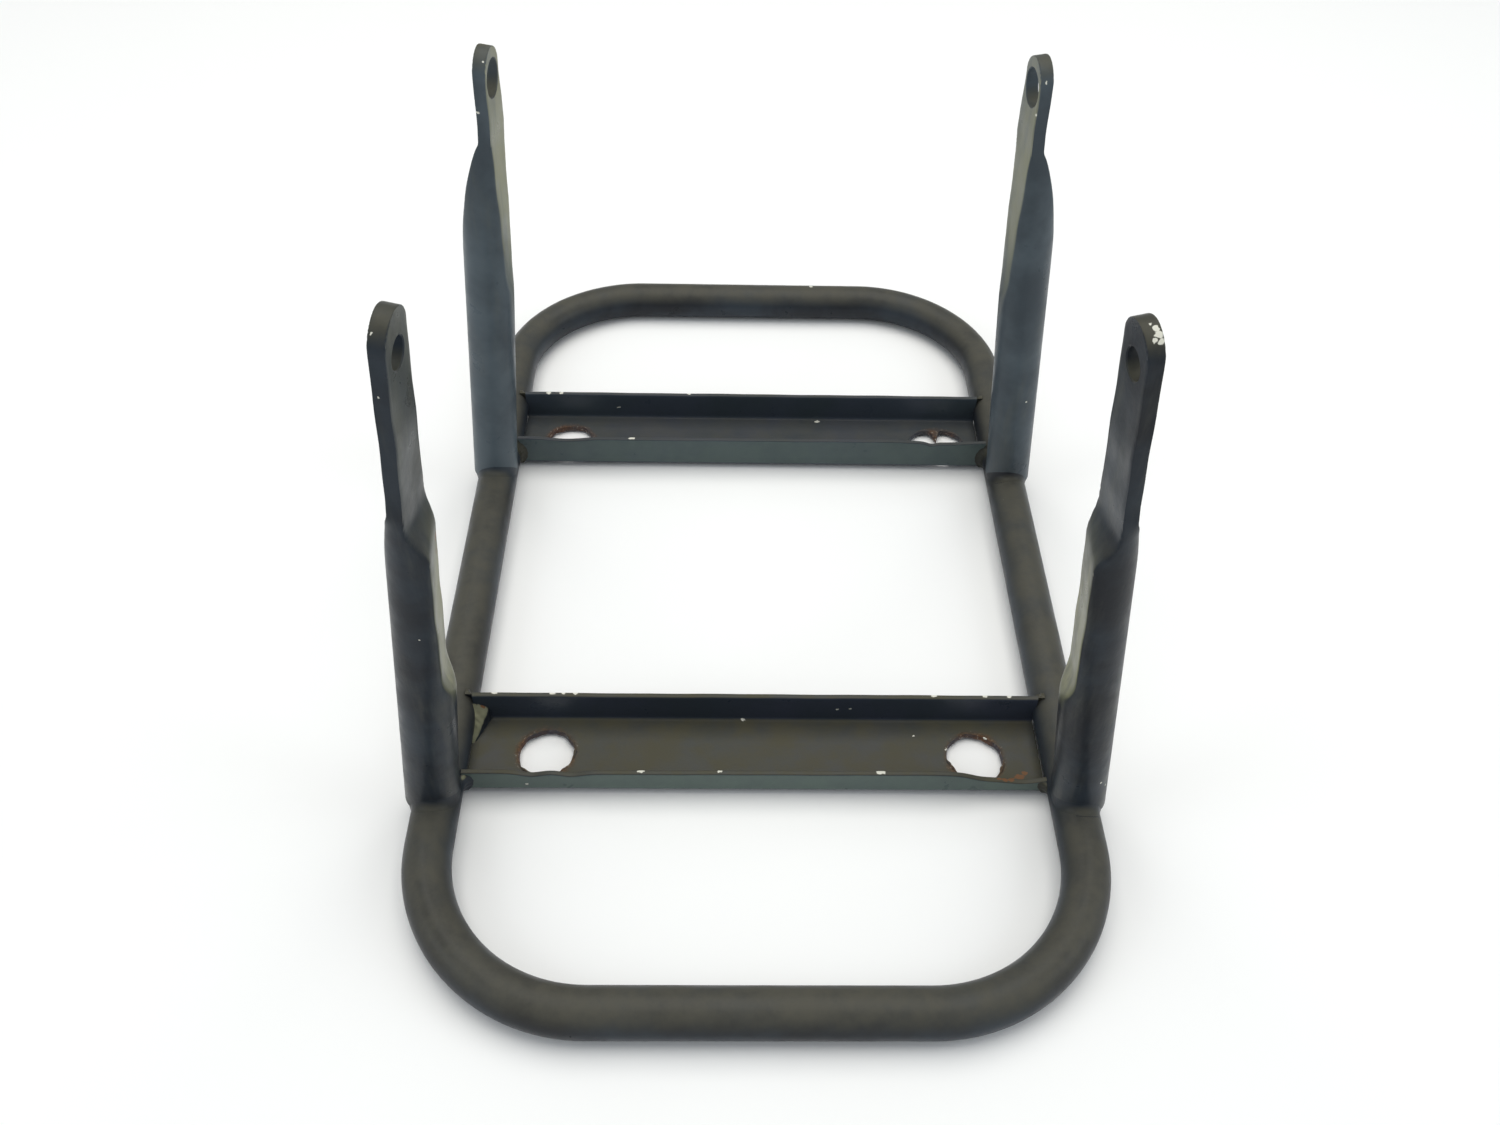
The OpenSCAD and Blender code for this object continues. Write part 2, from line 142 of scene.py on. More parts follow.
# %% The grid helper
def grid_mesh(name, grid, ring=False, caps=True):
    """Quads between the points of grid[row, column], in millimetres. Columns always close
    round the piece. Rows close too when ring is true, else caps closes both ends by one face.
    The winding is flipped where the volume, a sum of tetrahedra, comes out negative."""
    rows, columns = grid.shape[:2]
    points = grid.reshape(-1, 3) * MM
    i = np.arange(rows if ring else rows - 1)[:, None]
    k = np.arange(columns)[None, :]
    here, there = i * columns, (i + 1) % rows * columns
    nxt = (k + 1) % columns
    quads = np.stack([here + k, here + nxt, there + nxt, there + k], -1).reshape(-1, 4)
    a, b, c, d = (points[quads[:, n]] - points.mean(0) for n in range(4))
    volume = (a * (np.cross(b, c) + np.cross(c, d))).sum()
    faces = quads.tolist()
    if caps and not ring:
        faces += [list(range(columns))[::-1], [(rows - 1) * columns + n for n in range(columns)]]
    if volume < 0:
        faces = [face[::-1] for face in faces]
    mesh = bpy.data.meshes.new(name)
    mesh.from_pydata(points.tolist(), [], faces)
    mesh.shade_smooth()
    return mesh


# %% [markdown]
# Three more helpers serve every piece. One joins meshes into one object, one cuts holes with an
# exact Boolean, whose result is kept as the mesh itself, and one hides the CAD parts that the
# piece stands for and gives the piece its body and paint.

# %% Joining, cutting and finishing
def joined(name, meshes, weld=0.0):
    """One object from several meshes. Points closer than weld millimetres become one. Faces of
    more than four corners are split into triangles, which the cuts need."""
    build = bmesh.new()
    for mesh in meshes:
        build.from_mesh(mesh)
    bmesh.ops.triangulate(build, faces=[face for face in build.faces if len(face.verts) > 4])
    if weld:
        bmesh.ops.remove_doubles(build, verts=build.verts, dist=weld * MM)
    out = bpy.data.meshes.new(name)
    build.to_mesh(out)
    build.free()
    piece = bpy.data.objects.new(name, out)
    bpy.context.scene.collection.objects.link(piece)
    return piece


def finished(piece, nodes, slot, material):
    """Gives a piece its place in the frame: what it stands for, its body and finish.
    slot is not used.
    """
    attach(piece, "root")
    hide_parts(*nodes)
    piece.data.materials.clear()
    piece.data.materials.append(material)
    triangles = sum(len(p.vertices) - 2 for p in piece.data.polygons)
    print(piece.name, "stands for", ", ".join(nodes), "with", triangles, "triangles")


def cut(piece, cutters):
    """Cuts closed meshes out of a piece. The result is kept as the piece's own mesh."""
    tools = []
    for mesh in cutters:
        tool = bpy.data.objects.new("cutter", mesh)
        bpy.context.scene.collection.objects.link(tool)
        change = piece.modifiers.new("cut", "BOOLEAN")
        change.object, change.operation, change.solver = tool, "DIFFERENCE", "EXACT"
        tools.append(tool)
    bpy.context.view_layer.update()
    with_holes = piece.evaluated_get(bpy.context.evaluated_depsgraph_get())
    result = bpy.data.meshes.new_from_object(with_holes)
    piece.modifiers.clear()
    piece.data = result
    for tool in tools:
        bpy.data.objects.remove(tool)


print("Helpers:", grid_mesh.__name__, joined.__name__, finished.__name__, cut.__name__)

# %% [markdown]
# ## The paint
# All of the rack wears one coat of satin black paint, years old. Faces that look up are
# painted a lighter olive-grey, which is dust together with painted light from the warm lamp
# above; upright faces keep a deeper blue-black. Edges have lost some paint, chips show pale
# metal, pale flecks on the front holes' rims are painted highlights, and the hand-cut holes
# have rusted. One function builds the node tree for every finish, because only the amounts
# differ. Noise on Object coordinates sets the cloudiness in real millimetres, so the grain has
# the same size on every piece. The olive-grey follows the face's normal, which is part of the
# object and doesn't change with the view.

# %% Colours
BLACK = (0.016, 0.018, 0.022, 1)
BLUE_BLACK = (0.030, 0.039, 0.050, 1)
NAVY = (0.037, 0.048, 0.062, 1)
DEEP_NAVY = (0.045, 0.054, 0.078, 1)
# The next two are the legs' black paint made lighter and bluer for the rear legs: painted light.
LIT_STEEL_BLUE = (0.090, 0.114, 0.131, 1)
LIT_DARK_STEEL = (0.056, 0.070, 0.082, 1)
OLIVE = (0.052, 0.050, 0.036, 1)
DARK_OLIVE = (0.028, 0.029, 0.024, 1)
# The next three tints are laid on faces that look up: dust together with painted light from the
# warm lamp above.
DUST_AND_TOP_LIGHT = (0.078, 0.074, 0.052, 1)
COOL_DUST_AND_TOP_LIGHT = (0.079, 0.076, 0.060, 1)
WARM_DUST_AND_TOP_LIGHT = (0.076, 0.070, 0.042, 1)
# The next two are paler tones for faces that look one way.
PALE_FACE_TONE = (0.235, 0.235, 0.145, 1)
GREEN_GREY = (0.125, 0.170, 0.145, 1)
LONG_MARK = (0.13, 0.13, 0.10, 1)
# Pale metal: bare steel in chips and in rust, and painted highlights on the front holes' rims.
BARE_METAL_AND_GLINT = (0.70, 0.69, 0.60, 1)
RUST = (0.085, 0.040, 0.020, 1)
ORANGE = (0.165, 0.080, 0.036, 1)
PAINT_IOR = 1.26
print("Black paint", BLACK[:3], "under a film of dust", DUST_AND_TOP_LIGHT[:3])

# %% [markdown]
# Nodes are wordy to write by hand. This class keeps them short: each method adds one node,
# links what it is given, and hands back the socket that comes out.

# %% Node helper
class Tree:
    """A short way to write a node tree: add makes a node, and a link is made by each input that
    is given as a socket."""

    def __init__(self, name):
        self.material = bpy.data.materials.new(name)
        self.material.use_nodes = True
        self.nodes = self.material.node_tree.nodes
        self.links = self.material.node_tree.links
        self.shader = self.nodes["Principled BSDF"]

    def put(self, socket, value):
        if isinstance(value, bpy.types.NodeSocket):
            self.links.new(value, socket)
        else:
            socket.default_value = value

    def add(self, kind, *values, out=0, **settings):
        node = self.nodes.new("ShaderNode" + kind)
        for key, value in settings.items():
            setattr(node, key, value)
        for socket, value in zip(node.inputs, values):
            if value is not None:
                self.put(socket, value)
        return node.outputs[out]

    def math(self, operation, *values, clamp=False):
        return self.add("Math", *values, operation=operation, use_clamp=clamp)

    def ramp(self, value, low, high, to_low=0.0, to_high=1.0):
        """A smooth S from to_low at low to to_high at high, and level beyond them."""
        node = self.nodes.new("ShaderNodeMapRange")
        node.interpolation_type = "SMOOTHSTEP"
        for key, given in (("Value", value), ("From Min", low), ("From Max", high),
                           ("To Min", to_low), ("To Max", to_high)):
            self.put(node.inputs[key], given)
        return node.outputs["Result"]

    def profile(self, value, stops):
        """A broken line through the stops (place in millimetres, share), level beyond them."""
        low, high = stops[0][0] * MM, stops[-1][0] * MM
        share = self.math("DIVIDE", self.math("SUBTRACT", value, low), high - low, clamp=True)
        node = self.nodes.new("ShaderNodeValToRGB")
        self.put(node.inputs[0], share)
        points = node.color_ramp.elements
        while len(points) < len(stops):
            points.new(0.5)
        for point, (place, grey) in zip(points, stops):
            point.position = (place * MM - low) / (high - low)
            point.color = (grey, grey, grey, 1)
        return node.outputs[0]

    def mix(self, factor, a, b):
        node = self.nodes.new("ShaderNodeMix")
        node.data_type = "RGBA"
        for key, given in ((0, factor), (6, a), (7, b)):
            self.put(node.inputs[key], given)
        return node.outputs[2]

    def noise(self, place, per_metre, detail=4.0, rough=0.6, stretch=None):
        if stretch:
            place = self.add("VectorMath", place, stretch, operation="MULTIPLY")
        node = self.nodes.new("ShaderNodeTexNoise")
        self.put(node.inputs["Vector"], place)
        node.inputs["Scale"].default_value = per_metre
        node.inputs["Detail"].default_value = detail
        node.inputs["Roughness"].default_value = rough
        return node.outputs["Fac"]


print("Node helper:", [word for word in vars(Tree) if not word.startswith("_")])

# %% [markdown]
# Chips and rust are drawn by their distance from a point or an axis. Distance alone would draw
# perfect discs, so the place is first shaken by fine noise, which makes each outline ragged.
# A mask painted by hand would do as well, but it would be a picture, tied to one piece's UV map.

# %% Chips, stains and rust
SHAKE = 1.6 * MM
RUST_FADE = 3.2


def shaken(t, place):
    """The place moved along each axis by 0 to SHAKE, on average by half of it."""
    push = t.add("TexNoise", place, None, 700.0, out=1)
    push = t.add("VectorMath", push, (SHAKE, SHAKE, SHAKE), operation="MULTIPLY")
    return t.add("VectorMath", place, push, operation="ADD")


def with_spots(t, colour, place, spots, tint, smear):
    """spots are (x, y, z, radius) in millimetres, with a soft rim over the last quarter of the
    radius. smear below 1 draws them out along an axis."""
    if not spots:
        return colour
    smeared = t.add("VectorMath", place, smear, operation="MULTIPLY")
    spot_share = 0.0
    for x, y, z, radius in spots:
        middle = tuple((c * MM + SHAKE / 2) * s for c, s in zip((x, y, z), smear))
        away = t.add("VectorMath", smeared, middle, operation="DISTANCE", out=1)
        disc = t.ramp(away, radius * MM * 0.75, radius * MM, 1.0, 0.0)
        spot_share = t.math("MAXIMUM", spot_share, disc)
    return t.mix(spot_share, colour, tint)


def rust_share(t, place, rust):
    """rust is (x, y, reach, amount) for each upright axis: the amount is full as far as reach,
    and nothing RUST_FADE millimetres further out."""
    flat = t.add("VectorMath", place, (1, 1, 0), operation="MULTIPLY")
    rusty = 0.0
    for x, y, reach, amount in rust:
        axis = (x * MM + SHAKE / 2, y * MM + SHAKE / 2, 0)
        away = t.add("VectorMath", flat, axis, operation="DISTANCE", out=1)
        near = t.ramp(away, reach * MM, (reach + RUST_FADE) * MM, amount, 0.0)
        rusty = t.math("MAXIMUM", rusty, near)
    return rusty


def with_rust(t, colour, rusty, blotch, grain):
    """Brown flecked with orange, and here and there with bare metal."""
    patchy = t.math("MULTIPLY", rusty, t.ramp(blotch, 0.36, 0.60, 0.25, 1.0))
    flecks = t.mix(t.ramp(grain, 0.4, 0.6), RUST, ORANGE)
    flecks = t.mix(t.ramp(grain, 0.62, 0.68), flecks, BARE_METAL_AND_GLINT)
    return t.mix(patchy, colour, flecks)


print("Outlines of chips are shaken by up to", SHAKE, "m")

# %% [markdown]
# The finish itself goes on in layers, each over the one before: two dark tones of paint, dust
# with painted top light on level faces, paler faces that look one way, which on the weld heap
# are a painted highlight, long marks, rust, stains, and pale spots, which are chips and, on the
# front holes' rims, painted highlights. The noises are given in waves per metre, from broad
# clouds to the grain of the dust.

# %% Worn paint
CLOUD, BLOTCH, GRAIN, ORANGE_PEEL = 28.0, 95.0, 900.0, 260.0
BUMP, BUMP_DEPTH = 0.22, 0.25 * MM


def with_pale_faces(t, colour, place, normal, blotch, pale, share, streak):
    """pale is (x, y, z, colour, amount) for faces that look along x, y, z. share is (axis,
    stops): how much of that amount is left at each place on the axis."""
    *direction, tint, most = pale
    facing = t.add("VectorMath", normal, tuple(direction), operation="DOT_PRODUCT", out=1)
    amount = t.math("MULTIPLY", t.ramp(facing, 0.86, 0.98, 0.0, most),
                    t.ramp(blotch, 0.3, 0.7, 0.75, 1.0))
    if share:
        along = t.add("SeparateXYZ", place, out=share[0])
        amount = t.math("MULTIPLY", amount, t.profile(along, share[1]))
    if streak:
        runs = t.noise(place, 110.0, 4.0, 0.6, streak)
        amount = t.math("MULTIPLY", amount, t.ramp(runs, 0.38, 0.60, 0.55, 1.1))
    return t.mix(amount, colour, tint)


def worn_paint(name, dust_and_top_light_share=1.0, dust_and_top_light_tint=DUST_AND_TOP_LIGHT, dark=(BLACK, BLUE_BLACK), pale=None, share=None,
               streak=None, rust=(), stains=(), chips=(), smear=(1, 1, 1), grit=1.0,
               ior=PAINT_IOR):
    """Satin black paint. The share of olive-grey on faces that look up stands for dust together
    with painted light from the lamp above. dark are the paint's two tones, streak is the stretch
    (x, y, z) of long marks, and grit the strength of the bumps. stains are orange spots; the
    pale spots are chips, and painted highlights where they are given."""
    t = Tree(name)
    place = t.add("TexCoord", out=3)
    normal = t.add("NewGeometry", out=1)
    up = t.add("SeparateXYZ", normal, out=2)
    cloud = t.noise(place, CLOUD)
    blotch = t.noise(place, BLOTCH, 5.0)
    grain = t.noise(place, GRAIN, 3.0)
    colour = t.mix(t.ramp(cloud, 0.35, 0.68), *dark)
    # Faces that look up are made olive-grey, dust together with painted light from the lamp above;
    # the same mask makes them a little rougher.
    dust_and_top_light_mask = t.math("MULTIPLY", t.ramp(up, 0.15, 0.95), t.ramp(blotch, 0.25, 0.7, 0.55, 1.0))
    colour = t.mix(t.math("MULTIPLY", dust_and_top_light_mask, dust_and_top_light_share, clamp=True), colour, dust_and_top_light_tint)
    if pale:
        colour = with_pale_faces(t, colour, place, normal, blotch, pale, share, streak)
    if streak:
        marks = t.noise(place, 60.0, 5.0, 0.7, streak)
        colour = t.mix(t.ramp(marks, 0.50, 0.74, 0.0, 0.30), colour, LONG_MARK)
    ragged = shaken(t, place)
    rough = t.ramp(blotch, 0.3, 0.7, 0.27, 0.42)
    rough = t.math("ADD", rough, t.math("MULTIPLY", dust_and_top_light_mask, 0.12))
    if rust:
        rusty = rust_share(t, ragged, rust)
        colour = with_rust(t, colour, rusty, blotch, grain)
        rough = t.math("ADD", rough, t.math("MULTIPLY", rusty, 0.25))
    colour = with_spots(t, colour, ragged, stains, ORANGE, smear)
    # Pale spots: chips of bare metal, and painted highlights where they are given.
    colour = with_spots(t, colour, ragged, chips, BARE_METAL_AND_GLINT, smear)
    t.put(t.shader.inputs["Base Color"], colour)
    t.put(t.shader.inputs["Roughness"], rough)
    t.shader.inputs["IOR"].default_value = ior
    bump = t.nodes.new("ShaderNodeBump")
    bump.inputs["Strength"].default_value = BUMP * grit
    bump.inputs["Distance"].default_value = BUMP_DEPTH
    peel = t.noise(place, ORANGE_PEEL, 3.0)
    height = t.math("ADD", t.math("MULTIPLY", grain, 0.5), peel)
    t.put(bump.inputs["Height"], height)
    t.put(t.shader.inputs["Normal"], bump.outputs["Normal"])
    return t.material


print("Finish:", worn_paint.__doc__.split(".")[0])

# %% [markdown]
# ## The hoop
# The real hoop is one steel tube, bent round four corners and welded shut. A curve object with
# a round bevel would make the same form. Here the middle line is four straights and four
# quarter turns, and a circle is carried along it, because the circle can then be flattened a
# little on the outside of each bend, as a bender leaves it.

# %% Hoop
HOOP_R, BEND_R = 8.0, 56.0
RAIL_X, CROSS_Y = 108.5, 182.0
BEND_FLAT, RIPPLE = 0.35, 0.05


def hoop_grid(columns=56):
    """Rows run along the middle line. A row's points are its middle, plus R cos(t) outwards,
    plus R sin(t) up. On the bends the outer side is flatter by BEND_FLAT, and the upper
    side ripples by up to twice RIPPLE."""
    middles, outwards, flat = [], [], []
    corner_x, corner_y = RAIL_X - BEND_R, CROSS_Y - BEND_R
    corners = np.array([[1, 1], [-1, 1], [-1, -1], [1, -1]]) * [corner_x, corner_y]
    turn = np.radians(np.linspace(0, 90, 33))
    for n in range(4):
        a = turn + math.radians(90 * n)
        arrow = np.stack([np.cos(a), np.sin(a)], -1)
        bend = corners[n] + BEND_R * arrow
        start = corners[(n + 1) % 4] + BEND_R * arrow[-1]
        count = int(np.linalg.norm(start - bend[-1]) / 4)
        share = (np.arange(1, count) / count)[:, None]
        middles += [bend, bend[-1] * (1 - share) + start * share]
        outwards += [arrow, np.repeat(arrow[-1:], count - 1, 0)]
        flat += [np.sin(2 * turn) ** 2, np.zeros(count - 1)]
    middle, outward = np.concatenate(middles), np.concatenate(outwards)
    flat = np.concatenate(flat)
    t = np.linspace(0, 2 * np.pi, columns, endpoint=False)[None, :]
    length = np.arange(len(middle))[:, None] * 3.6
    r = HOOP_R - BEND_FLAT * flat[:, None] * np.maximum(0, np.cos(t)) ** 2
    wave = 1 + np.sin(length / 23 + 2 * np.cos(t)) * np.sin(length / 61)
    r = r - RIPPLE * wave * np.maximum(0, np.sin(t))
    across = (r * np.cos(t))[..., None] * outward[:, None, :]
    return np.concatenate([middle[:, None, :] + across, (HOOP_R + r * np.sin(t))[..., None]], -1)


HOOP_CHIPS = [(-101, -20, 15.0, 0.8), (104, 35, 15.6, 0.9), (30, 184, 15.8, 1.0)]
hoop_paint = worn_paint("hoop_paint", dust_and_top_light_share=1.0, dust_and_top_light_tint=COOL_DUST_AND_TOP_LIGHT, chips=HOOP_CHIPS)
hoop = joined("hoop_tube", [grid_mesh("hoop_tube", hoop_grid(), ring=True)])
finished(hoop, ["hoop"], "tube_paint", hoop_paint)

# %% [markdown]
# ## The channels
# Each channel is one strip of 2 mm sheet, folded up along both sides, and coped to the rails at
# its ends. A Solidify modifier on a bent strip would do, but the edges need their own form: the
# forward flange was nibbled low beside the holes. So the closed outline of the section is
# carried along X, and two things are worked out for every point: how far the channel reaches at
# that height before it meets the rail, and how much the nibbling takes off the flange.

# %% Channel outline
CHAN_W, CHAN_H, CHAN_LOW_H, CHAN_T, CHAN_R = 32.0, 15.0, 11.2, 2.0, 3.2
CHAN_LIFT, CHAN_Y, CHAN_END = 1.2, 84.0, 101.3
UNEVEN = 0.10


def arc(middle, radius, start, end, count):
    """Points on a circle between two angles in degrees."""
    a = np.radians(np.linspace(start, end, count))
    return np.array(middle) + radius * np.stack([np.cos(a), np.sin(a)], -1)


def run(start, end, count):
    """Points on a straight, without its ends."""
    share = (np.arange(1, count) / count)[:, None]
    return np.array(start) * (1 - share) + np.array(end) * share


def channel_outline(front_h, rear_h, soft=0.6):
    """The section's outline, (y, z) points against the clock: outside, rear edge, inside,
    front edge. soft is the radius of the flanges' edges."""
    half, bend = CHAN_W / 2, CHAN_W / 2 - CHAN_R
    inner, wall = CHAN_R - CHAN_T, half - CHAN_T
    front, rear = front_h - soft, rear_h - soft
    return np.concatenate([
        run((-half, front), (-half, CHAN_R), 10),
        arc((-bend, CHAN_R), CHAN_R, 180, 270, 9),
        run((-bend, 0), (bend, 0), 14),
        arc((bend, CHAN_R), CHAN_R, 270, 360, 9),
        run((half, CHAN_R), (half, rear), 10),
        arc((half - soft, rear), soft, 0, 90, 5),
        arc((wall + soft, rear), soft, 90, 180, 5),
        run((wall, rear), (wall, CHAN_R), 10),
        arc((bend, CHAN_R), inner, 0, -90, 6),
        run((bend, CHAN_T), (-bend, CHAN_T), 14),
        arc((-bend, CHAN_R), inner, 270, 180, 6),
        run((-wall, CHAN_R), (-wall, front), 10),
        arc((-wall - soft, front), soft, 0, 90, 5),
        arc((soft - half, front), soft, 90, 180, 5),
    ])


print("Outline of the channels:", len(channel_outline(CHAN_H, CHAN_H)), "points")

# %% [markdown]
# The outline is now carried along X. The rail is round, so the cope follows from its circle: the
# higher or lower a point lies than the rail's middle, the further it reaches. The nibbling is a
# sum of bell curves, which takes most off the flange's edge and nothing off its bend.

# %% Channel surface
def rail_reach(z, into=0.25):
    """How far a channel reaches along X at height z: to its cut end, or to the rail's surface,
    whose distance is RAIL_X less the square root of R squared less (z - R) squared."""
    rail = RAIL_X - np.sqrt(np.maximum(0, HOOP_R ** 2 - (z - HOOP_R) ** 2)) + into
    return np.minimum(CHAN_END, rail)


def nibbled(x, bells):
    """How much is cut off the forward flange: a sum of bell curves (place, depth, half width)."""
    return sum(depth * np.exp(-((x - place) / half) ** 2) for place, depth, half in bells)


def channel_grid(front_h, rear_h, bells, rows=181):
    """grid[row, column] = (x, y, z). x goes from -reach to +reach; z of the forward flange is
    lowered by the nibbling, in proportion to the height above its bend."""
    outline = channel_outline(front_h, rear_h)
    y, z = outline[:, 0][None, :], outline[:, 1][None, :] + CHAN_LIFT
    u = np.linspace(-1, 1, rows)[:, None]
    bend_top = CHAN_LIFT + CHAN_R
    share = np.clip((z - bend_top) / (front_h + CHAN_LIFT - bend_top), 0, 1) * (y < 0)
    rear_share = np.clip((z - bend_top) / (rear_h + CHAN_LIFT - bend_top), 0, 1) * (y > 0)
    x = u * rail_reach(z)
    uneven = UNEVEN * (1 - np.sin(x / 13.0) * np.sin(x / 5.7 + 1))
    z = z - share * (nibbled(x, bells) + uneven) - rear_share * uneven
    bow = 0.12 * np.sin(x / 31.0) * share
    return np.stack([x, y + bow + 0 * x, z], -1)


print("The rear channel reaches to X =", float(rail_reach(CHAN_H).round(2)))

# %% [markdown]
# The holes in the webs were burnt or nibbled out by hand. A drilled circle would look wrong, so
# the rim's radius wanders in waves, and a thin bead of burr lies round it. The rim is used
# twice: it is the outline of the cutter and the path of the bead.

# %% Rough holes
def rough_rim(d, longer, ragged, phase, tongue=None, count=96):
    """A hand-cut hole's rim: the radius wanders in slow waves, and a little in quick ones.
    tongue is (angle in degrees, length): a bell curve of metal that was left standing."""
    a = np.linspace(0, 2 * np.pi, count, endpoint=False)
    p = math.radians(phase)
    slow = 0.5 * np.sin(2 * a + p) + 0.3 * np.sin(5 * a + 2 * p) + 0.2 * np.sin(9 * a - p)
    r = d / 2 + ragged * slow + 0.10 * np.sin(17 * a + p) * np.sin(4 * a)
    if tongue:
        r = r - tongue[1] * np.exp(-((a - math.radians(tongue[0])) / 0.13) ** 2)
    return np.stack([longer * r * np.cos(a), r * np.sin(a)], -1)


def hole_cutter(x, y, rim):
    """The rim as a prism that opens by 0.35 mm at the top, where the cut has burnt the edge."""
    heights = np.array([-1.0, CHAN_LIFT + 1.3, CHAN_LIFT + CHAN_T, CHAN_LIFT + CHAN_T + 0.6])
    wider = np.array([0.0, 0.0, 0.35, 0.6])
    arrow = rim / np.linalg.norm(rim, axis=1, keepdims=True)
    flat = rim[None] + wider[:, None, None] * arrow[None]
    level = np.broadcast_to(heights[:, None, None], flat.shape[:2] + (1,))
    return grid_mesh("hole", np.concatenate([flat + [x, y], level], -1))


def burr_mesh(x, y, rim, seed):
    """The ragged lip that the cut left round the rim: a thin bead whose radius is a sum of
    waves, and never less than a tenth of a millimetre."""
    count = len(rim)
    a = np.linspace(0, 2 * np.pi, count, endpoint=False)
    waves = 0.22 * np.sin(3 * a + seed) + 0.16 * np.sin(8 * a + 2 * seed) + 0.10 * np.sin(21 * a)
    size = np.maximum(0.30 + waves, 0.10)
    t = np.linspace(0, 2 * np.pi, 8, endpoint=False)[None, :]
    arrow = rim / np.linalg.norm(rim, axis=1, keepdims=True)
    out = 0.42 + (size[:, None] * np.cos(t))
    flat = rim[:, None, :] + out[..., None] * arrow[:, None, :] + [x, y]
    level = CHAN_LIFT + CHAN_T - 0.12 + 1.1 * size[:, None] * np.sin(t)
    return grid_mesh("burr", np.concatenate([flat, level[..., None]], -1), ring=True)


print("Largest reach of a rough rim:", rough_rim(19.0, 1, 0.5, 40).max().round(2), "mm")

# %% [markdown]
# Both channels come from the same function. Only the forward flange's height, the bells and the
# holes differ. A bell is (place, depth, half width), a hole is (x, y, rim).

# %% Channels
FRONT_BELLS = [(92, 4.6, 13), (78, 1.5, 6), (-77.5, 1.6, 5), (-64, 1.6, 5)]
REAR_BELLS = [(-80.6, 1.2, 10), (83, 1.1, 11), (77.8, 1.0, 2.5)]
FRONT_HOLES = [(-74.5, -1.0, rough_rim(19.0, 1, 0.5, 40)),
               (78.2, -2.0, rough_rim(19.3, 1, 0.7, 160))]
REAR_HOLES = [(-80.6, -2.7, rough_rim(19.8, 1, 0.7, 70)),
              (83.0, -2.6, rough_rim(18.6, 1.4, 0.9, 250, tongue=(91, 6.6)))]


def channel(name, y, front_h, bells, holes):
    """A channel with its holes cut and the burrs joined to it, moved to its place along Y."""
    piece = joined(name, [grid_mesh(name, channel_grid(front_h, CHAN_H, bells))])
    tool = joined("holes", [hole_cutter(hx, hy, rim) for hx, hy, rim in holes])
    cut(piece, [tool.data])
    bpy.data.objects.remove(tool)
    sheet = piece.data
    bpy.data.objects.remove(piece)
    burrs = [burr_mesh(hx, hy, rim, 1.0 + 1.7 * n) for n, (hx, hy, rim) in enumerate(holes)]
    piece = joined(name, [sheet] + burrs)
    piece.data.transform(mathutils.Matrix.Translation((0, y * MM, 0)))
    piece.data.set_sharp_from_angle(angle=math.radians(40))
    return piece


FRONT_CHIPS = [
    (-93.4, -68.4, 16.1, 0.8), (-72.7, -68.4, 16.1, 0.6), (-69.1, -68.4, 16.1, 0.5),
    (-64.5, -68.4, 16.1, 0.6), (63.8, -68.5, 16.1, 0.8), (82.2, -68.5, 16.1, 0.7),
    (90.9, -68.5, 16.1, 0.6), (-39.9, -98.8, 12.2, 0.8), (-12.8, -98.8, 12.2, 0.65),
    (42.7, -98.6, 12.2, 1.0), (29.5, -70.0, 9.6, 0.4), (34.0, -70.0, 9.9, 0.55),
    (-4.6, -70.2, 3.4, 0.55), (56.9, -77.0, 3.2, 0.35), (-79.4, -100, 5.9, 0.4)]
# Pale spots round the rims of the front holes: painted highlights on the burnt rims.
RIM_HIGHLIGHTS = [
    (82.9, -78.2, 3.5, 0.6), (85.4, -80.6, 3.5, 0.55), (87.1, -84.0, 3.5, 0.45),
    (68.5, -82.8, 3.5, 0.5), (68.5, -86.3, 3.5, 0.35), (78.6, -77.8, 3.5, 0.4),
    (-77.5, -77.4, 3.5, 0.35), (-73.7, -76.4, 3.5, 0.5), (-69.3, -77.7, 3.5, 0.4),
    (-83.7, -85.6, 3.5, 0.4)]
RUST_CURVE = [
    (84.2, -98.7, 8.9, 0.7), (86.4, -98.7, 8.4, 0.9), (88.6, -98.7, 8.1, 0.9),
    (90.0, -95.6, 3.4, 1.1), (93.0, -94.2, 3.4, 1.2), (95.0, -92.6, 3.4, 0.8)]
REAR_CHIPS = [
    (-90.9, 99.0, 16.1, 0.8), (-85.1, 99.0, 16.1, 0.6), (-28.3, 99.5, 16.1, 0.6),
    (-52.1, 69.1, 16.1, 0.9), (29.8, 96.3, 3.4, 0.8), (-60, 98, 9.0, 0.5)]
ALONG_X = (0.6, 1, 1)
front_paint = worn_paint(
    "front_channel_paint", dust_and_top_light_share=0.9, dust_and_top_light_tint=WARM_DUST_AND_TOP_LIGHT, dark=(NAVY, DEEP_NAVY),
    pale=(0, -1, 0, GREEN_GREY, 0.85), share=(1, [(-96, 1.0), (-80, 0.0)]),
    rust=[(-74.5, -85.0, 8.9, 0.9), (78.2, -86.0, 9.0, 0.85)],
    stains=RUST_CURVE, chips=FRONT_CHIPS + RIM_HIGHLIGHTS, smear=ALONG_X)
rear_paint = worn_paint(
    "rear_channel_paint", dust_and_top_light_share=0.5, dark=(NAVY, DEEP_NAVY),
    pale=(0, -1, 0, GREEN_GREY, 0.5), share=(1, [(72, 1.0), (88, 0.2)]),
    rust=[(-80.6, 81.3, 9.3, 0.8), (83, 81.4, 9.6, 0.7)], chips=REAR_CHIPS, smear=ALONG_X)
front_channel = channel("front_channel_sheet", -CHAN_Y, CHAN_LOW_H, FRONT_BELLS, FRONT_HOLES)
finished(front_channel, ["front_channel"], "channel_paint", front_paint)
